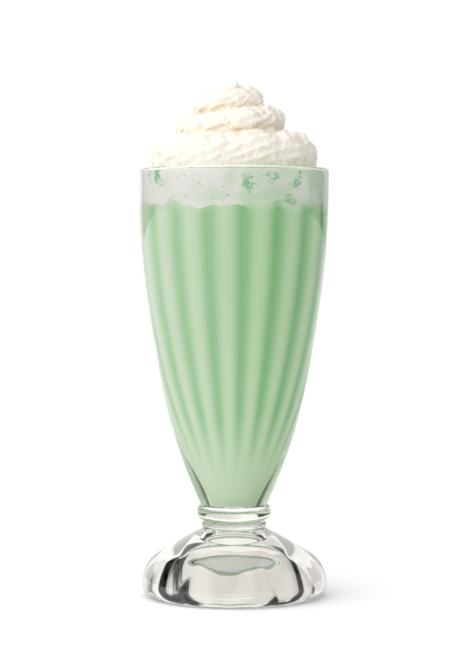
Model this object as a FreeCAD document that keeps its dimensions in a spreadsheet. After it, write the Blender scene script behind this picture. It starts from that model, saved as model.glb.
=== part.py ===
"""Mint milkshake in a pressed-glass soda fountain glass, topped with froth and piped whipped cream.

Row frame, millimetres: +Z up, origin at the centre of the foot where the glass stands.
The glass is one piece of pressed glass: a tapering bowl with flutes inside and a plain band
under the rim, a stem of one bead over one collar, and a domed foot with petals underneath.
"""

import FreeCAD
import Part
import Sketcher
import math
import os

OUT_FOLDER = "parts"

# name, value in mm or a plain number, and what it is
SIZES = [
    ("glass_height", 194.0, "floor to the top of the lip"),
    ("rim_radius", 43.0, "outside of the rim"),
    ("rim_wall", 2.4, "glass thickness at the rim"),
    ("lip_round", 1.1, "rounding of both edges of the lip"),
    ("plain_band", 10.0, "height of the band without flutes under the lip"),
    ("waist_share", 0.823, "outside of the bowl where its two arcs meet, as a share of the rim's"),
    ("waist_lift", 0.567, "height of that place, as a share of the glass's"),
    ("bowl_upper_arc", 430.0, "radius of the bowl's upper arc"),
    ("bowl_lower_arc", 245.0, "radius of the bowl's lower arc"),
    ("neck_radius", 15.3, "outside of the glass in the groove over the bead"),
    ("bead_radius", 16.9, "outside of the bead"),
    ("bead_height", 7.5, "height of the bead"),
    ("collar_radius", 14.8, "outside of the collar"),
    ("collar_height", 3.4, "height of the collar"),
    ("groove_radius", 14.0, "outside of the glass above and below the collar"),
    ("foot_height", 30.9, "floor to the underside of the collar"),
    ("foot_radius", 42.2, "outside of the foot"),
    ("foot_edge", 6.0, "rounding under the foot's edge"),
    ("foot_shoulder_radius", 35.0, "outside of the foot where its edge turns into its slope"),
    ("foot_shoulder_height", 19.2, "height of that place"),
    ("foot_edge_arc", 15.7, "radius of the foot's upper edge"),
    ("foot_slope_arc", 230.0, "radius of the foot's slope"),
    ("hollow_radius", 30.0, "inside of the foot at the floor, between two petals"),
    ("hollow_height", 24.2, "floor to the top of the hollow's main dome, were it whole"),
    ("dimple_ball", 18.4, "radius of the ball that dimples the top of that dome"),
    ("dimple_height", 27.0, "floor to the top of the dimple"),
    ("dimple_fillet", 5.0, "rounding where the dimple meets the dome"),
    ("petals", 8, "petals pressed into the hollow's wall"),
    ("petal_depth", 1.5, "depth of the petals at the floor"),
    ("petal_height", 14.0, "floor to the tips of the petals"),
    ("petal_turn", -5.0, "degrees from the front to a ridge between petals"),
    ("flutes", 16, "flutes inside the bowl"),
    ("flute_depth", 1.1, "depth of the ridges between the flutes at mid height"),
    ("flute_turn", 6.0, "degrees from the front to a ridge between flutes"),
    ("flute_fade", 12.0, "height in which the flutes run out under the plain band"),
    ("bowl_floor", 43.0, "floor to the inside bottom of the bowl"),
    ("bowl_floor_radius", 6.2, "inside radius at the bottom of the bowl"),
    ("bowl_ease", 1.15, "exponent that keeps the inside narrow near the bottom"),
    ("bowl_fullness", 2.1, "exponent that makes the inside full near the mouth"),
    ("froth_gap", 1.6, "top of the lip down to the top of the froth"),
    ("froth_depth", 14.4, "depth of the froth on the shake"),
    ("cream_inset", 2.4, "inside of the rim to the outside of the cream's bottom ring"),
    ("dome_radius", 27.5, "outside of the coils over that ring"),
    ("cream_height", 40.6, "height of the cream over the froth"),
    ("first_coil", 18.3, "height over the froth of the first groove between coils"),
    ("coil_pitch", 9.5, "rise of the coil on each turn"),
    ("coil_groove", 3.0, "depth of the groove between coils"),
    ("ribs", 11, "ribs left round the heap by the star nozzle"),
    ("rib_depth", 0.6, "height of those ribs"),
]

# height between the sections that the fluted inside is lofted through, and their least count
SECTION_GAP = 12.0
LEAST_SECTIONS = 4
PETAL_SECTIONS = 4
# the petals' ridges lie this far inside the hollow's wall, so that the two spaces merge cleanly
UNDERCUT = 0.02
# edges of the turned shape are found again to this closeness
CLOSE = 0.01
CREAM_LEVELS = 30
CREAM_COLUMNS = 60
# exponents of the bottom ring's round shoulder and of the dome's outline over it
RING_SHOULDER = 5
DOME_SHOULDER = 3
DOME_FULLNESS = 0.8
# radians by which the star nozzle's ribs lag on each turn of the coil
RIB_LAG = 2.0
# the heap ends in a small flat tip: its radius, and its distance under the full height as a
# share of one level
TIP_RADIUS = 0.4
TIP_DROP = 0.25
# slow waves that make the cream uneven: count round the heap, size in mm and phase
WAVES = ((2, 0.5, 0.4), (3, 0.45, 2.1), (5, 0.35, 4.4), (8, 0.3, 1.2))


def make_sheet(doc):
    """The spreadsheet that holds every driving size."""
    sheet = doc.addObject("Spreadsheet::Sheet", "sizes")
    for row, (name, value, meaning) in enumerate(SIZES, start=1):
        sheet.set(f"A{row}", name)
        sheet.set(f"B{row}", str(value))
        sheet.set(f"C{row}", meaning)
        sheet.setAlias(f"B{row}", name)
    doc.recompute()
    return sheet


def plane_of(body, role):
    return next(f for f in body.Origin.OriginFeatures if f.Role == role)


def outline(body, sheet, name, corners, edges):
    """A closed sketch on the XZ plane. corners are pairs of expressions for radius and height.
    Each edge joins one corner to the next: None is a line, and (radius, side) is an arc whose
    centre lies to that side of the edge, 1 for its left and -1 for its right."""
    sketch = body.newObject("Sketcher::SketchObject", name)
    sketch.AttachmentSupport = [(plane_of(body, "XZ_Plane"), "")]
    sketch.MapMode = "FlatFace"
    places = [
        FreeCAD.Vector(float(sheet.evalExpression(x)), float(sheet.evalExpression(z)), 0)
        for x, z in corners
    ]
    starts = []
    for i, edge in enumerate(edges):
        begin, end = places[i], places[(i + 1) % len(places)]
        if edge is None:
            sketch.addGeometry(Part.LineSegment(begin, end))
            starts.append((i, 1, 2))
        else:
            radius = float(sheet.evalExpression(edge[0]))
            sketch.addGeometry(arc_between(begin, end, radius, edge[1]))
            starts.append((i, 2, 1) if edge[1] < 0 else (i, 1, 2))
    for i, (this, _, last) in enumerate(starts):
        after, first, _ = starts[(i + 1) % len(starts)]
        sketch.addConstraint(Sketcher.Constraint("Coincident", this, last, after, first))
    for (this, first, _), (x, z) in zip(starts, corners):
        for kind, expression in (("DistanceX", x), ("DistanceY", z)):
            place_corner(sketch, sheet, kind, this, first, expression)
    for (this, _, _), edge in zip(starts, edges):
        if edge is not None:
            radius = float(sheet.evalExpression(edge[0]))
            index = sketch.addConstraint(Sketcher.Constraint("Radius", this, radius))
            sketch.setExpression(f"Constraints[{index}]", edge[0])
    return sketch


def place_corner(sketch, sheet, kind, geometry, point, expression):
    """Holds one coordinate of a sketch point to an expression."""
    value = float(sheet.evalExpression(expression))
    if expression == "0":
        on_axis = -2 if kind == "DistanceX" else -1
        sketch.addConstraint(Sketcher.Constraint("PointOnObject", geometry, point, on_axis))
        return
    index = sketch.addConstraint(Sketcher.Constraint(kind, -1, 1, geometry, point, value))
    sketch.setExpression(f"Constraints[{index}]", expression)


def arc_between(begin, end, radius, side):
    """The short arc of that radius from begin to end, with its centre to the given side."""
    half = (end - begin) * 0.5
    away = math.sqrt(max(radius**2 - half.Length**2, 0.0))
    left = FreeCAD.Vector(-half.y, half.x, 0).normalize()
    centre = begin + half + left * (away * side)
    first = math.atan2(begin.y - centre.y, begin.x - centre.x)
    last = math.atan2(end.y - centre.y, end.x - centre.x)
    circle = Part.Circle(centre, FreeCAD.Vector(0, 0, 1), radius)
    if side < 0:
        first, last = last, first
    return Part.ArcOfCircle(circle, first, last)


def turned(body, sketch, kind, name):
    """A full revolution or groove of a sketch about the glass's axis."""
    feature = body.newObject(f"PartDesign::{kind}", name)
    feature.Profile = sketch
    feature.ReferenceAxis = (sketch, ["V_Axis"])
    feature.Angle = 360
    return feature


def make_blank(doc, sheet):
    """The glass without its flutes and petals: everything that a lathe could turn."""
    body = doc.addObject("PartDesign::Body", "glass_blank")
    s = "sizes."
    collar_top = f"{s}foot_height + {s}collar_height"
    bead_top = f"{s}foot_height + {s}collar_height + {s}bead_height"
    collar_bulge = f"({s}collar_radius - {s}groove_radius)"
    bead_bulge = f"({s}bead_radius - ({s}groove_radius + {s}neck_radius) / 2)"
    bead_lean = f"({s}neck_radius - {s}groove_radius)"
    outside = outline(
        body,
        sheet,
        "outside",
        [
            ("0", "0"),
            (f"{s}foot_radius - {s}foot_edge", "0"),
            (f"{s}foot_radius", f"{s}foot_edge"),
            (f"{s}foot_shoulder_radius", f"{s}foot_shoulder_height"),
            (f"{s}groove_radius", f"{s}foot_height"),
            (f"{s}groove_radius", collar_top),
            (f"{s}neck_radius", bead_top),
            (f"{s}rim_radius * {s}waist_share", f"{s}glass_height * {s}waist_lift"),
            (f"{s}rim_radius", f"{s}glass_height - {s}lip_round"),
            (f"{s}rim_radius - {s}lip_round", f"{s}glass_height"),
            ("0", f"{s}glass_height"),
        ],
        [
            None,
            (f"{s}foot_edge", 1),
            (f"{s}foot_edge_arc", 1),
            (f"{s}foot_slope_arc", 1),
            (arc_radius(f"{s}collar_height^2", collar_bulge), 1),
            (arc_radius(f"({s}bead_height^2 + {bead_lean}^2)", bead_bulge), 1),
            (f"{s}bowl_lower_arc", 1),
            (f"{s}bowl_upper_arc", 1),
            (f"{s}lip_round", 1),
            None,
            None,
        ],
    )
    turned(body, outside, "Revolution", "turned_outside")
    doc.recompute()
    inside = f"{s}rim_radius - {s}rim_wall"
    mouth = outline(
        body,
        sheet,
        "mouth",
        [
            ("0", f"{s}glass_height - {s}plain_band"),
            (inside, f"{s}glass_height - {s}plain_band"),
            (inside, f"{s}glass_height - {s}lip_round"),
            (f"{inside} + {s}lip_round", f"{s}glass_height"),
            ("0", f"{s}glass_height"),
        ],
        [None, None, (f"{s}lip_round", -1), None, None],
    )
    turned(body, mouth, "Groove", "turned_mouth")
    doc.recompute()
    dome_ball = arc_radius(f"(2 * {s}hollow_radius)^2", f"{s}hollow_height")
    dome_middle = f"({s}hollow_height - {dome_ball})"
    dimple_middle = f"({s}dimple_height - {s}dimple_ball)"
    meeting = (
        f"((({dome_ball})^2 - {s}dimple_ball^2 + {dimple_middle}^2 - {dome_middle}^2)"
        f" / (2 * ({dimple_middle} - {dome_middle})))"
    )
    meeting_radius = f"sqrt({s}dimple_ball^2 - ({meeting} - {dimple_middle})^2)"
    hollow = outline(
        body,
        sheet,
        "hollow",
        [
            ("0", "0"),
            (f"{s}hollow_radius", "0"),
            (meeting_radius, meeting),
            ("0", f"{s}dimple_height"),
        ],
        [None, (dome_ball, 1), (f"{s}dimple_ball", 1), None],
    )
    hollowed = turned(body, hollow, "Groove", "turned_hollow")
    doc.recompute()
    round_the_dimple(body, sheet, hollowed, float(sheet.evalExpression(meeting_radius)))
    doc.recompute()
    return body


def arc_radius(chord_squared, bulge):
    """Expression for the radius of an arc from the square of its chord and its bulge."""
    return f"(({chord_squared}) / 4 + {bulge}^2) / (2 * {bulge})"


def round_the_dimple(body, sheet, hollowed, radius):
    """Rounds the circle where the dimple meets the main dome of the foot's hollow."""
    fillet = body.newObject("PartDesign::Fillet", "dimple_rounding")
    names = [
        f"Edge{i}"
        for i, edge in enumerate(hollowed.Shape.Edges, start=1)
        if abs(edge.BoundBox.XMax - radius) < CLOSE
        and edge.BoundBox.ZLength < CLOSE
        and edge.BoundBox.ZMax < float(sheet.get("foot_height"))
    ]
    fillet.Base = (hollowed, names)
    fillet.setExpression("Radius", "sizes.dimple_fillet")


def scalloped_wire(radius, depth, count, turn, height):
    """A closed wire of equal arcs that bulge outwards and meet on ridges depth further in. The
    first ridge stands turn degrees from the front, which is -Y, towards +X."""
    step = 2 * math.pi / count
    first = math.radians(turn - 90)

    def point(distance, angle):
        return FreeCAD.Vector(distance * math.cos(angle), distance * math.sin(angle), height)

    edges = []
    for i in range(count):
        ridge = first + i * step
        arc = Part.Arc(
            point(radius - depth, ridge),
            point(radius, ridge + step / 2),
            point(radius - depth, ridge + step),
        )
        edges.append(arc.toShape())
    return Part.Wire(edges)


def scalloped_loft(doc, name, sections):
    """A loft through scalloped wires, each given as radius, depth, count, turn and height."""
    wires = []
    for i, section in enumerate(sections):
        wire = doc.addObject("Part::Feature", f"{name}_section_{i}")
        wire.Shape = scalloped_wire(*section)
        wires.append(wire)
    loft = doc.addObject("Part::Loft", name)
    loft.Sections = wires
    loft.Solid = True
    loft.Ruled = False
    return loft


def bowl_inside(v, height):
    """Inside radius of the bowl at a height, at the crowns of the flutes."""
    share = (height - v["bowl_floor"]) / (v["glass_height"] - v["bowl_floor"])
    mouth = v["rim_radius"] - v["rim_wall"]
    spread = 1 - (1 - min(share, 1.0) ** v["bowl_ease"]) ** v["bowl_fullness"]
    return v["bowl_floor_radius"] + (mouth - v["bowl_floor_radius"]) * spread


def make_bowl_space(doc, v):
    """The fluted space inside the bowl, up to the plain band under the lip."""
    flutes, turn = int(v["flutes"]), v["flute_turn"]
    top = v["glass_height"] - v["plain_band"]
    fluted_top = top - v["flute_fade"]
    mouth = v["rim_radius"] - v["rim_wall"]
    count = max(round((fluted_top - v["bowl_floor"]) / SECTION_GAP), LEAST_SECTIONS)
    sections = []
    for i in range(count + 1):
        height = v["bowl_floor"] + (fluted_top - v["bowl_floor"]) * i / count
        radius = bowl_inside(v, height)
        depth = v["flute_depth"] * min(radius / mouth, 1.0)
        sections.append((radius, depth, flutes, turn, height))
    middle = (fluted_top + top) / 2
    half_way = (bowl_inside(v, middle) + mouth) / 2
    sections.append((half_way, v["flute_depth"] / 2, flutes, turn, middle))
    sections.append((mouth, 0.0, flutes, turn, top))
    return scalloped_loft(doc, "bowl_space", sections)


def make_petal_space(doc, v):
    """The petals pressed into the wall of the foot's hollow, from under the floor to their tips."""
    petals, turn = int(v["petals"]), v["petal_turn"]
    ball = (v["hollow_radius"] ** 2 + v["hollow_height"] ** 2) / (2 * v["hollow_height"])
    middle = v["hollow_height"] - ball
    sections = []
    for i in range(-1, PETAL_SECTIONS + 1):
        height = v["petal_height"] * i / PETAL_SECTIONS
        wall = math.sqrt(ball**2 - (height - middle) ** 2)
        depth = v["petal_depth"] * (1 - max(i, 0) / PETAL_SECTIONS)
        sections.append((wall + depth - UNDERCUT, depth, petals, turn, height))
    return scalloped_loft(doc, "petal_space", sections)


def make_glass(doc, blank, bowl_space, petal_space):
    """The glass: the blank less the fluted bowl and the petals under the foot."""
    spaces = doc.addObject("Part::MultiFuse", "pressed_spaces")
    spaces.Shapes = [bowl_space, petal_space]
    glass = doc.addObject("Part::Cut", "glass")
    glass.Base = blank
    glass.Tool = spaces
    return glass


def make_layer(doc, name, space, bottom, top):
    """What fills the bowl between two heights."""
    slab = doc.addObject("Part::Cylinder", f"{name}_slab")
    slab.setExpression("Radius", "sizes.rim_radius")
    slab.setExpression("Height", f"({top}) - ({bottom})")
    slab.setExpression("Placement.Base.z", bottom)
    layer = doc.addObject("Part::MultiCommon", name)
    layer.Shapes = [space, slab]
    return layer


def make_filling_space(doc, sheet, bowl_space):
    """The inside of the bowl as one solid: the fluted space and the plain band over it."""
    band = doc.addObject("Part::Cylinder", "band_space")
    band.setExpression("Radius", "sizes.rim_radius - sizes.rim_wall")
    band.setExpression("Height", "sizes.plain_band - sizes.lip_round")
    band.setExpression("Placement.Base.z", "sizes.glass_height - sizes.plain_band")
    space = doc.addObject("Part::MultiFuse", "filling_space")
    space.Shapes = [bowl_space, band]
    return space


def heap_radius(v, height):
    """Outline of the cream at a height over the froth: a wide ring with a dome of coils on it."""
    ring_share = min(height / v["first_coil"], 1.0)
    dome_share = min(height / v["cream_height"], 1.0)
    widest = v["rim_radius"] - v["rim_wall"] - v["cream_inset"]
    ring = widest * math.sqrt(1 - ring_share**RING_SHOULDER)
    dome = v["dome_radius"] * (1 - dome_share**DOME_SHOULDER) ** DOME_FULLNESS
    return max(ring, dome)


def cream_radius(v, height, around):
    """Radius of the cream at a height over the froth and an angle: one rope laid in a rising
    coil, ribbed across by its star nozzle."""
    turn = (height - v["first_coil"]) / v["coil_pitch"] - around / (2 * math.pi)
    base = heap_radius(v, height)
    on_dome = min(max(2 * height / v["first_coil"] - 1, 0.0), 1.0)
    groove = (1 - abs(math.sin(math.pi * turn))) ** 2
    ribs = math.cos(v["ribs"] * around - RIB_LAG * height / v["coil_pitch"])
    fade = min(base / v["dome_radius"], 1.0)
    uneven = sum(size * math.sin(n * around + late) for n, size, late in WAVES)
    return base + fade * (uneven + v["rib_depth"] * ribs - on_dome * v["coil_groove"] * groove)


def make_cream(doc, v):
    """The heap of piped cream: a loft through level rings, with a flat underside."""
    levels = [v["cream_height"] * i / CREAM_LEVELS for i in range(CREAM_LEVELS)]
    levels.append(v["cream_height"] * (1 - TIP_DROP / CREAM_LEVELS))
    underside = v["glass_height"] - v["froth_gap"]
    rings = []
    for height in levels:
        points = []
        for i in range(CREAM_COLUMNS):
            around = 2 * math.pi * i / CREAM_COLUMNS
            radius = max(cream_radius(v, height, around), TIP_RADIUS)
            x, y = radius * math.cos(around), radius * math.sin(around)
            points.append(FreeCAD.Vector(x, y, underside + height))
        curve = Part.BSplineCurve()
        curve.interpolate(points, PeriodicFlag=True)
        rings.append(Part.Wire([curve.toShape()]))
    cream = doc.addObject("Part::Feature", "whipped_cream")
    cream.Shape = Part.makeLoft(rings, True, False)
    return cream


def check_document(doc, nodes):
    """Stops if any object failed or a sub-part's shape is missing or broken."""
    for item in doc.Objects:
        if "Invalid" in item.State or "Error" in item.State:
            raise RuntimeError(f"{item.Label} failed: {item.State}")
    for node in nodes:
        shape = node.Shape
        if shape.isNull() or not shape.isValid() or not shape.Solids:
            raise RuntimeError(f"{node.Label} has no valid solid")


def main():
    doc = FreeCAD.newDocument("milkshake")
    sheet = make_sheet(doc)
    v = {name: float(sheet.get(name)) for name, _, _ in SIZES}
    blank = make_blank(doc, sheet)
    bowl_space = make_bowl_space(doc, v)
    petal_space = make_petal_space(doc, v)
    glass = make_glass(doc, blank, bowl_space, petal_space)
    filling_space = make_filling_space(doc, sheet, bowl_space)
    froth_top = "sizes.glass_height - sizes.froth_gap"
    shake_top = f"{froth_top} - sizes.froth_depth"
    shake = make_layer(doc, "shake", filling_space, "sizes.bowl_floor", shake_top)
    froth = make_layer(doc, "froth", filling_space, shake_top, froth_top)
    doc.recompute()
    cream = make_cream(doc, v)
    doc.recompute()
    nodes = [glass, shake, froth, cream]
    check_document(doc, nodes)
    os.makedirs(OUT_FOLDER, exist_ok=True)
    for node in nodes:
        node.Shape.exportStep(os.path.join(OUT_FOLDER, f"{node.Label}.step"))
        box = node.Shape.BoundBox
        print(
            f"{node.Label}: {len(node.Shape.Solids)} solid, {node.Shape.Volume / 1000:.1f} cm3, "
            f"z {box.ZMin:.1f} to {box.ZMax:.1f}, x {box.XMin:.1f} to {box.XMax:.1f}"
        )


main()
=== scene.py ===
"""Looks of the mint milkshake: pressed fountain glass, mint shake, pale froth, whipped cream."""

import math

import bmesh
import bpy
from mathutils import Matrix, Vector, noise


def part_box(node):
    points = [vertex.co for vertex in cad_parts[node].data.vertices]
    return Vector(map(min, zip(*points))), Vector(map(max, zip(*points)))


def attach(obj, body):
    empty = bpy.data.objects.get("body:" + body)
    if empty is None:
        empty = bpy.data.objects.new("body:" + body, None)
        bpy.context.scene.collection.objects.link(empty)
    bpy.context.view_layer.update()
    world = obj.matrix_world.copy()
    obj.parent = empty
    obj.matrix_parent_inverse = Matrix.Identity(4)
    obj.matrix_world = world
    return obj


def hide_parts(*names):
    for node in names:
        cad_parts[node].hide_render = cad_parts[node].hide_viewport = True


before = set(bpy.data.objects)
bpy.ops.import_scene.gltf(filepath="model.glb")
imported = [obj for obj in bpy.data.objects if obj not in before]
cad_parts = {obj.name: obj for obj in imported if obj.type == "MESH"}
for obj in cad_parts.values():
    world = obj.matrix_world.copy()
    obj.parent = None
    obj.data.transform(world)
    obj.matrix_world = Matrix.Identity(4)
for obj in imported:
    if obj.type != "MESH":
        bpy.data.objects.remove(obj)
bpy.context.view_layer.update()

# ---------------------------------------------------------------------------------------------
# The glass. A tall soda fountain glass of clear soda-lime glass, pressed in one piece in a mould:
# flutes inside the bowl, a bead and a collar for a stem, petals under the domed foot. The seams
# are fire-polished away, so it is smooth and bright all over.
# ---------------------------------------------------------------------------------------------
MM = 0.001
GLASS_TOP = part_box("glass")[1].z
RIM_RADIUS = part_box("glass")[1].x
RIM_WALL = 2.4 * MM
MOUTH_RADIUS = RIM_RADIUS - RIM_WALL
LIP_ROUND = 1.1 * MM
PLAIN_BAND = 10.0 * MM
FLUTE_FADE = 12.0 * MM
FLUTE_START = 52.0 * MM
FLUTES = 16
FLUTE_DEPTH = 1.2 * MM
FLUTE_TURN = math.radians(6)
BOWL_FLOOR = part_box("shake")[0].z
BOWL_FLOOR_RADIUS = 6.2 * MM
BOWL_EASE = 1.15
BOWL_FULLNESS = 2.1
FOOT_RADIUS = 42.2 * MM
FOOT_EDGE = 6.0 * MM
FOOT_BELLY = (35.0 * MM, 19.2 * MM)
FOOT_BELLY_ARC = 15.7 * MM
FOOT_CROWN_ARC = 230.0 * MM
FOOT_HEIGHT = 30.9 * MM
GROOVE_RADIUS = 14.0 * MM
NECK_RADIUS = 15.3 * MM
COLLAR_HEIGHT = 3.4 * MM
COLLAR_BULGE = 0.8 * MM
BEAD_HEIGHT = 7.5 * MM
BEAD_BULGE = 2.25 * MM
WAIST_SHARE = 0.823
WAIST_LIFT = 0.567
LOWER_BOWL_ARC = 245.0 * MM
UPPER_BOWL_ARC = 430.0 * MM
HOLLOW_RADIUS = 30.0 * MM
HOLLOW_HEIGHT = 24.2 * MM
DIMPLE_BALL = 18.4 * MM
DIMPLE_HEIGHT = 27.0 * MM
DIMPLE_FILLET = 5.0 * MM
PETALS = 8
PETAL_DEPTH = 1.5 * MM
PETAL_HEIGHT = 14.0 * MM
PETAL_TURN = math.radians(-5)
PETAL_SOFTNESS = 0.15 * MM
STEPS = 16 * FLUTES
BOWL_ROWS = 56
NEAR_AXIS = 0.1 * MM
NEAR_TABLE = 0.001 * MM
WELD = 0.0001 * MM
SHARP_EDGE = math.radians(50)


def arc_to(points, end, radius, side, count):
    """Adds a round stretch from the last point to end, its centre left (1) or right (-1)."""
    begin, end = Vector(points[-1]), Vector(end)
    half = (end - begin) / 2
    away = math.sqrt(max(radius**2 - half.length**2, 0.0))
    centre = begin + half + Vector((-half.y, half.x)).normalized() * away * side
    first = math.atan2(*(begin - centre).yx)
    sweep = (begin - centre).angle_signed(end - centre)
    for i in range(1, count + 1):
        angle = first - sweep * i / count
        points.append((centre.x + radius * math.cos(angle), centre.y + radius * math.sin(angle)))


def bulge_to(points, end, bulge, count):
    """Adds an arc from the last point to end that stands out to the right by bulge."""
    chord = (Vector(end) - Vector(points[-1])).length
    arc_to(points, end, (chord**2 / 4 + bulge**2) / (2 * bulge), 1, count)


def turned(bm, outline, steps):
    """Spins an outline of (radius, height) points about Z and returns the new vertices."""
    before = set(bm.verts)
    verts = [bm.verts.new((r, 0, z)) for r, z in outline]
    edges = [bm.edges.new(pair) for pair in zip(verts, verts[1:])]
    bmesh.ops.spin(
        bm, geom=verts + edges, cent=(0, 0, 0), axis=(0, 0, 1), angle=math.tau, steps=steps,
        use_merge=True,
    )
    return [v for v in bm.verts if v not in before]


def pressed(verts, count, first_ridge, push):
    """Moves turned vertices outwards by push, which takes a height and how far across its lobe
    a vertex lies, from -1 to 1. The first ridge between two lobes is that far from the front."""
    for v in verts:
        radius = math.hypot(v.co.x, v.co.y)
        if radius < NEAR_AXIS:
            continue
        part = (math.atan2(v.co.x, -v.co.y) - first_ridge) * count / math.tau
        scale = 1 + push(v.co.z, 2 * (part - math.floor(part)) - 1) / radius
        v.co.x *= scale
        v.co.y *= scale


def finished(bm, name):
    """Closes seams and poles, turns the faces outwards and makes a smooth-shaded piece."""
    bmesh.ops.remove_doubles(bm, verts=bm.verts, dist=WELD)
    bmesh.ops.recalc_face_normals(bm, faces=bm.faces)
    for face in bm.faces:
        face.smooth = True
    mesh = bpy.data.meshes.new(name)
    bm.to_mesh(mesh)
    bm.free()
    mesh.set_sharp_from_angle(angle=SHARP_EDGE)
    piece = bpy.data.objects.new(name, mesh)
    bpy.context.scene.collection.objects.link(piece)
    return piece


def bowl_inside(z):
    """Inside radius of the bowl at a height, at the crowns of the flutes."""
    share = min(max((z - BOWL_FLOOR) / (GLASS_TOP - BOWL_FLOOR), 0.0), 1.0)
    spread = MOUTH_RADIUS - BOWL_FLOOR_RADIUS
    return BOWL_FLOOR_RADIUS + spread * (1 - (1 - share**BOWL_EASE) ** BOWL_FULLNESS)


def flute(z, across):
    """The ridges between the flutes: lower near the bowl's floor, none in the plain band."""
    fade = min(max((GLASS_TOP - PLAIN_BAND - z) / FLUTE_FADE, 0.0), 1.0)
    fade = fade * fade * (3 - 2 * fade)
    grown = min(max((z - FLUTE_START) / FLUTE_FADE / 2, 0.0), 1.0)
    return -FLUTE_DEPTH * fade * grown * bowl_inside(z) / MOUTH_RADIUS * across**2


def petal(z, across):
    """The petals under the foot: arches that are deepest at the ring the glass stands on."""
    depth = PETAL_DEPTH * (1 - across**2 - z / PETAL_HEIGHT)
    return (depth + math.hypot(depth, PETAL_SOFTNESS)) / 2


outside = [(FOOT_RADIUS - FOOT_EDGE, 0.0)]
arc_to(outside, (FOOT_RADIUS, FOOT_EDGE), FOOT_EDGE, 1, 10)
arc_to(outside, FOOT_BELLY, FOOT_BELLY_ARC, 1, 14)
arc_to(outside, (GROOVE_RADIUS, FOOT_HEIGHT), FOOT_CROWN_ARC, 1, 12)
bulge_to(outside, (GROOVE_RADIUS, FOOT_HEIGHT + COLLAR_HEIGHT), COLLAR_BULGE, 10)
bead_top = FOOT_HEIGHT + COLLAR_HEIGHT + BEAD_HEIGHT
bulge_to(outside, (NECK_RADIUS, bead_top), BEAD_BULGE, 14)
arc_to(outside, (WAIST_SHARE * RIM_RADIUS, WAIST_LIFT * GLASS_TOP), LOWER_BOWL_ARC, 1, 18)
arc_to(outside, (RIM_RADIUS, GLASS_TOP - LIP_ROUND), UPPER_BOWL_ARC, 1, 14)
arc_to(outside, (RIM_RADIUS - LIP_ROUND, GLASS_TOP), LIP_ROUND, 1, 6)

inside = [(MOUTH_RADIUS + LIP_ROUND, GLASS_TOP)]
arc_to(inside, (MOUTH_RADIUS, GLASS_TOP - LIP_ROUND), LIP_ROUND, 1, 6)
for i in range(BOWL_ROWS + 1):
    z = GLASS_TOP - PLAIN_BAND + (BOWL_FLOOR - GLASS_TOP + PLAIN_BAND) * i / BOWL_ROWS
    inside.append((bowl_inside(z), z))
inside.append((0.0, BOWL_FLOOR))

dome_ball = (HOLLOW_RADIUS**2 + HOLLOW_HEIGHT**2) / (2 * HOLLOW_HEIGHT)
dome = Vector((0, HOLLOW_HEIGHT - dome_ball))
dimple = Vector((0, DIMPLE_HEIGHT - DIMPLE_BALL))
from_dome, from_dimple = dome_ball + DIMPLE_FILLET, DIMPLE_BALL + DIMPLE_FILLET
lift = from_dome**2 - from_dimple**2 + dimple.y**2 - dome.y**2
lift /= 2 * (dimple.y - dome.y)
fillet = Vector((math.sqrt(from_dimple**2 - (lift - dimple.y) ** 2), lift))
hollow = [(0.0, DIMPLE_HEIGHT)]
arc_to(hollow, dimple + (fillet - dimple).normalized() * DIMPLE_BALL, DIMPLE_BALL, -1, 12)
arc_to(hollow, dome + (fillet - dome).normalized() * dome_ball, DIMPLE_FILLET, 1, 6)
arc_to(hollow, (HOLLOW_RADIUS, 0.0), dome_ball, -1, 26)

bm = bmesh.new()
turned(bm, outside, STEPS)
pressed(turned(bm, inside, STEPS), FLUTES, FLUTE_TURN, flute)
pressed(turned(bm, hollow, STEPS), PETALS, PETAL_TURN, petal)
rims = [e for e in bm.edges if e.is_boundary and max(v.co.z for v in e.verts) < NEAR_TABLE]
bmesh.ops.bridge_loops(bm, edges=rims)
glass = finished(bm, "pressed_glass")


def linear(hex_colour):
    """A sRGB hex colour as linear red, green, blue and alpha 1."""
    parts = [int(hex_colour[i : i + 2], 16) / 255 for i in (1, 3, 5)]
    return (*[c / 12.92 if c <= 0.04045 else ((c + 0.055) / 1.055) ** 2.4 for c in parts], 1.0)


def add(tree, kind, inputs=None, **settings):
    """Adds a node. inputs maps socket names to values or to the sockets that feed them."""
    node = tree.nodes.new(kind)
    for name, value in settings.items():
        setattr(node, name, value)
    for name, value in (inputs or {}).items():
        if isinstance(value, bpy.types.NodeSocket):
            tree.links.new(value, node.inputs[name])
        else:
            node.inputs[name].default_value = value
    return node


def new_material(name):
    """An empty material and its node tree."""
    material = bpy.data.materials.new(name)
    material.use_nodes = True
    material.node_tree.nodes.clear()
    return material, material.node_tree


def sums(tree, operation, first, second=0.0, third=0.0):
    """A math node's result."""
    values = {0: first, 1: second, 2: third}
    return add(tree, "ShaderNodeMath", values, operation=operation).outputs[0]


def between(tree, factor, first, second):
    """A blend of two colours, each a hex string or a socket."""
    node = add(tree, "ShaderNodeMix", {0: factor}, data_type="RGBA")
    for index, colour in ((6, first), (7, second)):
        if isinstance(colour, str):
            node.inputs[index].default_value = linear(colour)
        else:
            tree.links.new(colour, node.inputs[index])
    return node.outputs[2]


def shade(tree, bump=None, **inputs):
    """Ends a material in one principled shader; keys use underscores for spaces."""
    values = {name.replace("_", " "): value for name, value in inputs.items()}
    if bump is not None:
        values["Normal"] = bump
    shader = add(tree, "ShaderNodeBsdfPrincipled", values)
    add(tree, "ShaderNodeOutputMaterial", {"Surface": shader.outputs["BSDF"]})


clear_glass, tree = new_material("fire_polished_soda_lime_glass")
shade(tree, Base_Color=linear("#FAF9F6"), Roughness=0.0, IOR=1.52, Transmission_Weight=1.0)
glass.data.materials.append(clear_glass)
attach(glass, "root")
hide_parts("glass")

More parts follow.
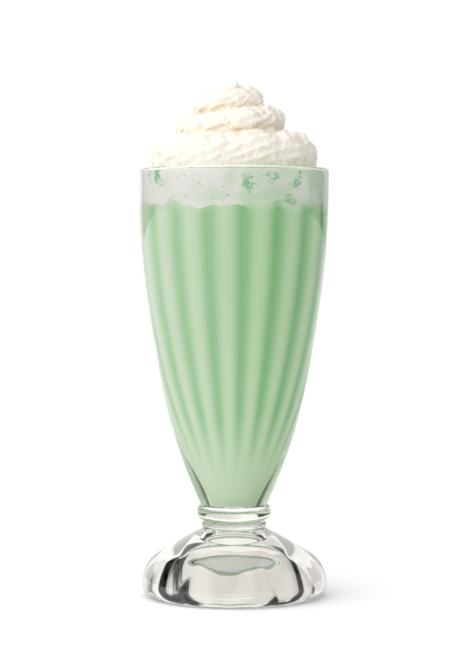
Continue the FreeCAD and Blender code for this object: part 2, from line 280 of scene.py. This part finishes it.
# ---------------------------------------------------------------------------------------------
# The shake. Thick opaque mint milk that fills the flutes to the froth and wets the glass. Painted
# shade makes the creases along the ridges between two flutes a darker, greener mint; a painted sheen
# pales its left side.
# ---------------------------------------------------------------------------------------------
INTO_WALL = 0.25 * MM
SHAKE_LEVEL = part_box("shake")[1].z
FROTH_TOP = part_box("froth")[1].z
EDGE_SWING = 3.4 * MM
EDGE_REACH = 8.0 * MM
EDGE_GRAIN = 11.0 * MM


def against_wall(bottom, top, rows):
    """Outline of what fills the bowl between two heights, a little way into the wall."""
    points = [(0.0, bottom)]
    for i in range(rows + 1):
        z = bottom + (top - bottom) * i / rows
        points.append((bowl_inside(z) + INTO_WALL, z))
    points.append((0.0, top))
    return points


def uneven_edge(verts):
    """Makes the level where shake meets froth uneven, the same way in both."""
    for v in verts:
        near = max(1 - abs(v.co.z - SHAKE_LEVEL) / EDGE_REACH, 0.0)
        place = Vector((v.co.x, v.co.y, 0.0))
        swing = noise.noise(place / EDGE_GRAIN) + 0.5 * noise.noise(place / EDGE_GRAIN * 2.7)
        v.co.z += EDGE_SWING * swing * near


bm = bmesh.new()
filling = turned(bm, against_wall(BOWL_FLOOR - INTO_WALL, SHAKE_LEVEL, BOWL_ROWS), STEPS)
pressed(filling, FLUTES, FLUTE_TURN, flute)
uneven_edge(filling)
shake = finished(bm, "mint_shake")

mint, tree = new_material("mint_milkshake")
spot = add(tree, "ShaderNodeTexCoord").outputs["Object"]
axes = add(tree, "ShaderNodeSeparateXYZ", {0: spot})
# painted shade: the creases along the ridges between two flutes get a darker, deeper green, fading in
# from 58 to 85 mm up
around = sums(tree, "ARCTAN2", axes.outputs["X"], sums(tree, "MULTIPLY", axes.outputs["Y"], -1.0))
aside = sums(tree, "SUBTRACT", around, FLUTE_TURN)
waves = sums(tree, "COSINE", sums(tree, "MULTIPLY", aside, FLUTES / 2))
high = add(tree, "ShaderNodeMapRange", {
    "Value": axes.outputs["Z"], "From Min": 0.058, "From Max": 0.085})
painted_ridge_shade = sums(tree, "POWER", sums(tree, "MULTIPLY", waves, waves), 1.3)
painted_ridge_shade = sums(tree, "MULTIPLY", painted_ridge_shade, high.outputs[0])
flow = add(tree, "ShaderNodeMapping", {"Vector": spot, "Scale": (1.0, 1.0, 0.25)})
cloudy = add(tree, "ShaderNodeTexNoise", {"Vector": flow.outputs[0], "Scale": 60.0, "Detail": 3.0})
# painted sheen: the shake's left side is painted paler, standing in for the reflection of the bright
# light on the left
painted_left_sheen = add(tree, "ShaderNodeMapRange", {
    "Value": axes.outputs["X"], "From Min": 0.012, "From Max": -0.034})
lobe = between(tree, cloudy.outputs["Fac"], "#D0F2C5", "#DAF6CF")
lobe = between(tree, painted_left_sheen.outputs[0], lobe, "#E8F4E2")
painted_ridge_shade_colour = between(tree, painted_left_sheen.outputs[0], "#8FD28D", "#BCE5B8")
colour = between(tree, painted_ridge_shade, lobe, painted_ridge_shade_colour)
rough = add(tree, "ShaderNodeTexNoise", {"Vector": spot, "Scale": 150.0, "Detail": 4.0})
lifted = sums(tree, "MULTIPLY_ADD", rough.outputs["Fac"], 0.012, axes.outputs["Z"])
mixed = add(tree, "ShaderNodeMapRange", {
    "Value": lifted, "From Min": 0.1805, "From Max": 0.1850, "To Max": 0.8})
colour = between(tree, mixed.outputs[0], colour, "#F3F8EE")
shade(tree, Base_Color=colour, Roughness=0.45, IOR=1.35, Specular_IOR_Level=0.3)
shake.data.materials.append(mint)
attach(shake, "root")
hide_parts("shake")

# ---------------------------------------------------------------------------------------------
# The froth. A band of fine, pale bubbles on the shake, greener towards the right, with an uneven
# lower edge, small holes, and a few places near the rim where the green liquid shows through.
# ---------------------------------------------------------------------------------------------
FROTH_ROWS = 16
# degrees from the front, height, and half width and half height of each green place, in mm
GREEN_PLACES = (
    (-54, 190.5, 2.2, 3.6), (-62, 190.0, 0.8, 2.5), (8, 186.5, 1.8, 2.8), (12, 184.5, 1.0, 1.4),
    (25, 188.5, 2.6, 1.3), (36, 178.5, 2.4, 2.6), (44, 190.0, 0.9, 4.6), (42, 186.0, 2.2, 1.5),
    (100, 187.0, 2.0, 2.0), (150, 189.0, 2.4, 1.6), (205, 184.0, 1.8, 2.4), (260, 188.0, 1.4, 3.0),
)
GREEN_SPREAD = 1.15

bm = bmesh.new()
filling = turned(bm, against_wall(SHAKE_LEVEL, FROTH_TOP, FROTH_ROWS), STEPS)
pressed(filling, FLUTES, FLUTE_TURN, flute)
uneven_edge(filling)
froth = finished(bm, "pale_froth")

pale, tree = new_material("milk_froth")
spot = add(tree, "ShaderNodeTexCoord").outputs["Object"]
ragged = add(tree, "ShaderNodeTexNoise", {"Vector": spot, "Scale": 520.0, "Detail": 5.0})
jitter = add(tree, "ShaderNodeVectorMath", {
    0: ragged.outputs["Color"], 1: (0.5, 0.5, 0.5)}, operation="SUBTRACT")
moved = add(tree, "ShaderNodeVectorMath", {
    0: jitter.outputs[0], 1: (0.012, 0.012, 0.012), 2: spot}, operation="MULTIPLY_ADD")
green = None
for turn, height, wide, tall in GREEN_PLACES:
    at = math.radians(turn)
    reach = bowl_inside(height * MM)
    centre = (reach * math.sin(at), -reach * math.cos(at), height * MM)
    size = [GREEN_SPREAD * half * MM for half in (wide, wide, tall)]
    off = add(tree, "ShaderNodeVectorMath", {0: moved.outputs[0], 1: centre}, operation="SUBTRACT")
    share = add(tree, "ShaderNodeVectorMath", {0: off.outputs[0], 1: size}, operation="DIVIDE")
    length = add(tree, "ShaderNodeVectorMath", {0: share.outputs[0]}, operation="LENGTH")
    here = add(tree, "ShaderNodeMapRange", {
        "Value": length.outputs["Value"], "From Min": 1.4, "From Max": 0.6}).outputs[0]
    green = here if green is None else sums(tree, "MAXIMUM", green, here)
cloudy = add(tree, "ShaderNodeTexNoise", {"Vector": spot, "Scale": 95.0, "Detail": 5.0})
side = add(tree, "ShaderNodeSeparateXYZ", {0: spot})
greener = sums(tree, "MULTIPLY_ADD", side.outputs["X"], 5.0, cloudy.outputs["Fac"])
patch = add(tree, "ShaderNodeMapRange", {"Value": greener, "From Min": 0.42, "From Max": 0.66})
bubbles = add(tree, "ShaderNodeTexVoronoi", {"Vector": spot, "Scale": 420.0, "Randomness": 1.0})
holes = add(tree, "ShaderNodeMapRange", {
    "Value": bubbles.outputs["Distance"], "From Min": 0.22, "From Max": 0.08})
rare = add(tree, "ShaderNodeTexNoise", {"Vector": spot, "Scale": 140.0, "Detail": 1.0})
where = add(tree, "ShaderNodeMapRange", {
    "Value": rare.outputs["Fac"], "From Min": 0.50, "From Max": 0.57})
pits = sums(tree, "MULTIPLY", holes.outputs[0], where.outputs[0])
colour = between(tree, patch.outputs[0], "#FFFFFD", "#E6F7E2")
colour = between(tree, pits, colour, "#B4DBB2")
colour = between(tree, green, colour, "#9ED5A4")
raised = add(tree, "ShaderNodeBump", {
    "Height": bubbles.outputs["Distance"], "Strength": 0.25, "Distance": 0.0004})
shade(tree, bump=raised.outputs[0], Base_Color=colour, Roughness=0.6, IOR=1.35,
      Specular_IOR_Level=0.3)
froth.data.materials.append(pale)
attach(froth, "root")
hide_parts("froth")

# ---------------------------------------------------------------------------------------------
# The whipped cream. One ribbed rope, piped through a star nozzle onto the froth: a wide bottom
# ring, then a coil that climbs and narrows to a torn tip. The rope is a curve with a star for
# its section; a mound fills the inside, and one voxel skin joins rope, mound and a last dollop.
# ---------------------------------------------------------------------------------------------
NOZZLE_TEETH = 12
TOOTH_DEPTH = 0.11
POINTS_A_TURN = 120
# the rope wavers slowly and, on its ruffled right side, shivers fast, the same way in each run
WOBBLE_SEED = 7
WOBBLE_PACE = 4.0
SHIVER_PACE = 20.0
THIN_ROPE = 5
SKIN_GRAIN = 0.6 * MM
# outline of the mound inside the coil: distance from the axis and height over the froth; mm
MOUND = (
    (0.0, -0.5), (33.0, -0.5), (35.5, 3.0), (34.5, 8.5), (30.5, 13.0), (24.5, 17.0), (20.5, 21.5),
    (17.0, 25.5), (13.0, 30.0), (8.0, 34.0), (3.0, 37.0), (0.0, 37.5),
)
# middle over the froth and half sizes of the dollops on the right; mm
DOLLOPS = (((32.6, 4.0, 7.2), (5.4, 7.5, 8.6)), ((25.5, -13.0, 15.0), (4.2, 5.0, 3.4)))
# name, width and height of each kind of bump; mm
BUMPS = (("folds", 9.0, 3.2), ("ruffles", 4.0, 1.9), ("grain", 1.8, 0.4))
# turns from the right side, distance from the axis, height over the froth, half thickness; mm
COIL = (
    (-1.05, 27.0, 6.5, 8.0), (-0.75, 29.0, 7.6, 9.2), (-0.5, 29.0, 7.4, 9.4),
    (-0.2, 28.6, 7.8, 9.2), (0.0, 28.4, 9.4, 8.8), (0.25, 24.0, 13.0, 8.4),
    (0.5, 18.6, 17.4, 8.1), (1.0, 15.8, 23.4, 7.3), (1.5, 12.0, 28.4, 6.6),
    (2.0, 6.7, 32.9, 5.6), (2.5, 3.0, 36.0, 4.3), (2.75, 1.2, 38.2, 2.7), (2.95, -0.9, 40.2, 1.2),
)


def coil_at(turn):
    """Distance from the axis, height and half thickness of the rope, between the stations."""
    for before, after in zip(COIL, COIL[1:]):
        if turn <= after[0]:
            share = (turn - before[0]) / (after[0] - before[0])
            return [a + (b - a) * share for a, b in zip(before[1:], after[1:])]
    return COIL[-1][1:]


nozzle_data = bpy.data.curves.new("nozzle", "CURVE")
nozzle_line = nozzle_data.splines.new("POLY")
corners = NOZZLE_TEETH * 8
nozzle_line.points.add(corners - 1)
nozzle_line.use_cyclic_u = True
for i, point in enumerate(nozzle_line.points):
    angle = math.tau * i / corners
    reach = 1 - TOOTH_DEPTH * abs(math.sin(NOZZLE_TEETH * angle / 2)) ** 0.8
    point.co = (reach * math.cos(angle) * MM, reach * math.sin(angle) * MM, 0.0, 1.0)
nozzle = bpy.data.objects.new("nozzle", nozzle_data)

rope_data = bpy.data.curves.new("rope", "CURVE")
rope_data.dimensions = "3D"
rope_data.twist_mode = "Z_UP"
rope_data.bevel_mode = "OBJECT"
rope_data.bevel_object = nozzle
rope_data.use_fill_caps = True
rope_data.resolution_u = 1
rope_line = rope_data.splines.new("POLY")
count = round((COIL[-1][0] - COIL[0][0]) * POINTS_A_TURN)
rope_line.points.add(count)
noise.seed_set(WOBBLE_SEED)
for i, point in enumerate(rope_line.points):
    turn = COIL[0][0] + i / POINTS_A_TURN
    distance, height, half = coil_at(turn)
    angle = math.tau * turn
    ruffled = 0.5 + 0.5 * math.cos(angle)
    wobble = noise.noise_vector(Vector((turn * WOBBLE_PACE, 1.7, 0.3)))
    shiver = noise.noise_vector(Vector((turn * SHIVER_PACE, 5.1, 2.9)))
    half *= 1 + 0.08 * wobble.x + (0.02 + 0.22 * ruffled**2) * shiver.x
    distance += (0.9 * wobble.y + 0.8 * ruffled * shiver.y) * min(half / THIN_ROPE, 1.0)
    height += (0.8 * wobble.z + 0.6 * ruffled * shiver.z) * min(half / THIN_ROPE, 1.0)
    x, y = distance * math.cos(angle), distance * math.sin(angle)
    point.co = (x * MM, y * MM, FROTH_TOP + height * MM, 1.0)
    point.radius = half
    point.tilt = -1.1 * math.tau * turn + 1.6 * wobble.x
rope = bpy.data.objects.new("rope", rope_data)
for helper in (nozzle, rope):
    bpy.context.scene.collection.objects.link(helper)
bpy.context.view_layer.update()
depsgraph = bpy.context.evaluated_depsgraph_get()
rope_mesh = bpy.data.meshes.new_from_object(rope.evaluated_get(depsgraph))
bm = bmesh.new()
bm.from_mesh(rope_mesh)
for helper in (nozzle, rope):
    bpy.data.objects.remove(helper)
turned(bm, [(r * MM, FROTH_TOP + z * MM) for r, z in MOUND], 64)
for place, size in DOLLOPS:
    middle = Matrix.Translation((place[0] * MM, place[1] * MM, FROTH_TOP + place[2] * MM))
    scaled = Matrix.Diagonal((size[0] * MM, size[1] * MM, size[2] * MM, 1.0))
    bmesh.ops.create_uvsphere(bm, u_segments=32, v_segments=20, radius=1.0, matrix=middle @ scaled)
cream = finished(bm, "piped_cream")
skin = cream.modifiers.new("skin", "REMESH")
skin.mode = "VOXEL"
skin.voxel_size = SKIN_GRAIN
skin.use_smooth_shade = True
soften = cream.modifiers.new("soften", "SMOOTH")
soften.factor = 0.5
soften.iterations = 3
for name, grain, strength in BUMPS:
    clouds = bpy.data.textures.new(name, "CLOUDS")
    clouds.noise_scale = grain * MM
    clouds.noise_depth = 2
    push = cream.modifiers.new(name, "DISPLACE")
    push.texture = clouds
    push.texture_coords = "LOCAL"
    push.mid_level = 0.5
    push.strength = strength * MM

white_cream, tree = new_material("whipped_cream")
# painted shade: ambient occlusion paints the cream's creases and hollows a warm beige
open_air = add(tree, "ShaderNodeAmbientOcclusion", {"Distance": 0.009}, samples=8, only_local=True)
clear_of_painted_shade = add(tree, "ShaderNodeMapRange", {
    "Value": open_air.outputs["AO"], "From Min": 0.2, "From Max": 0.9})
colour = between(tree, clear_of_painted_shade.outputs[0], "#DAC5A2", "#E3DED4")
shade(tree, Base_Color=colour, Roughness=0.55, IOR=1.4, Specular_IOR_Level=0.3,
      Subsurface_Weight=0.35, Subsurface_Radius=(1.0, 0.75, 0.45), Subsurface_Scale=0.002)
cream.data.materials.append(white_cream)
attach(cream, "root")
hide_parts("whipped_cream")

# ---------------------------------------------------------------------------------------------
# The stage: a white table in a studio with pale and black screens round it, which
# give the clear glass its bright and dark edges, one soft key light on the left, the camera.
# ---------------------------------------------------------------------------------------------
FLOOR_RADIUS = 8.0
FLOOR_DROP = 0.2 * MM
WARM = (1.0, 0.965, 0.93)
# degrees round from the backdrop towards the right, brightness, and how warm it is
SCREENS = (
    (-180, 0.10, 0), (-140, 0.10, 0), (-125, 0.00, 0), (-32, 0.00, 0), (-28, 1.00, 0),
    (-10, 1.00, 0.3), (5, 0.82, 1), (30, 0.74, 1), (38, 0.74, 1), (42, 0.00, 0), (75, 0.00, 0),
    (80, 0.80, 0), (110, 0.80, 0), (120, 0.00, 0), (150, 0.30, 0), (180, 0.10, 0),
)
OVERHEAD_EDGES = (math.sin(math.radians(55)), math.sin(math.radians(72)))
KEY_AT = Vector((-0.7, -0.9, 0.9))
KEY_AIM = Vector((0, 0, 0.13))
CAMERA_AT = (0.0007, -0.950, 0.150)
CAMERA_DIP = 1.617
BOUNCES = 24

bm = bmesh.new()
bmesh.ops.create_circle(bm, cap_ends=True, segments=96, radius=FLOOR_RADIUS,
                        matrix=Matrix.Translation((0, 0, -FLOOR_DROP)))
floor = finished(bm, "floor")
table, tree = new_material("back_lit_white_acrylic")
shade(tree, Base_Color=linear("#FAFAFA"), Roughness=0.9, Specular_IOR_Level=0.2)
floor.data.materials.append(table)

scene = bpy.context.scene
world = bpy.data.worlds.new("studio")
scene.world = world
world.use_nodes = True
tree = world.node_tree
tree.nodes.clear()
outwards = add(tree, "ShaderNodeTexCoord").outputs["Generated"]
way = add(tree, "ShaderNodeSeparateXYZ", {0: outwards})
azimuth = sums(tree, "ARCTAN2", way.outputs["X"], way.outputs["Y"])
share = add(tree, "ShaderNodeMapRange", {
    "Value": azimuth, "From Min": -math.pi, "From Max": math.pi})
screens = add(tree, "ShaderNodeValToRGB", {0: share.outputs[0]})
stops = screens.color_ramp.elements
stops.remove(stops[-1])
for i, (degrees, bright, warm) in enumerate(SCREENS):
    stop = stops.new((degrees + 180) / 360) if i else stops[0]
    stop.position = (degrees + 180) / 360
    stop.color = (*[bright * (1 + (w - 1) * warm) for w in WARM], 1.0)
overhead = add(tree, "ShaderNodeMapRange", {
    "Value": way.outputs["Z"], "From Min": OVERHEAD_EDGES[0], "From Max": OVERHEAD_EDGES[1]},
    interpolation_type="SMOOTHSTEP")
room = add(tree, "ShaderNodeBackground", {
    "Color": between(tree, overhead.outputs[0], screens.outputs[0], "#FFFFFF")})
facing = add(tree, "ShaderNodeVectorMath", {
    0: outwards, 1: (-0.75, -0.45, 0.48)}, operation="DOT_PRODUCT")
soft = add(tree, "ShaderNodeMapRange", {
    "Value": facing.outputs["Value"], "From Min": -0.78, "To Min": 0.0, "To Max": 1.96})
fill = add(tree, "ShaderNodeBackground", {"Color": (1.0, 1.0, 1.0, 1.0), "Strength": soft.outputs[0]})
backdrop = add(tree, "ShaderNodeBackground", {"Color": (1.0, 1.0, 1.0, 1.0)})
path = add(tree, "ShaderNodeLightPath")
scattered = sums(tree, "MINIMUM", path.outputs["Diffuse Depth"], 1.0)
mix = add(tree, "ShaderNodeMixShader", {0: scattered, 1: room.outputs[0], 2: fill.outputs[0]})
mix = add(tree, "ShaderNodeMixShader", {
    0: path.outputs["Is Camera Ray"], 1: mix.outputs[0], 2: backdrop.outputs[0]})
add(tree, "ShaderNodeOutputWorld", {"Surface": mix.outputs[0]})

key_data = bpy.data.lights.new("key", "AREA")
key_data.size = 1.0
key_data.energy = 2.0
key = bpy.data.objects.new("key", key_data)
key.location = KEY_AT
key.rotation_euler = (KEY_AIM - KEY_AT).to_track_quat("-Z", "Y").to_euler()
key.visible_camera = False
key.visible_glossy = False
key.visible_transmission = False
scene.collection.objects.link(key)

camera_data = bpy.data.cameras.new("camera")
camera_data.lens = 115.75
camera_data.clip_start = 0.01
camera = bpy.data.objects.new("camera", camera_data)
camera.location = CAMERA_AT
camera.rotation_euler = (math.radians(90 - CAMERA_DIP), 0, 0)
scene.collection.objects.link(camera)
scene.camera = camera
scene.view_settings.view_transform = "Standard"
for kind in ("max", "diffuse", "glossy", "transmission"):
    setattr(scene.cycles, kind + "_bounces", BOUNCES)
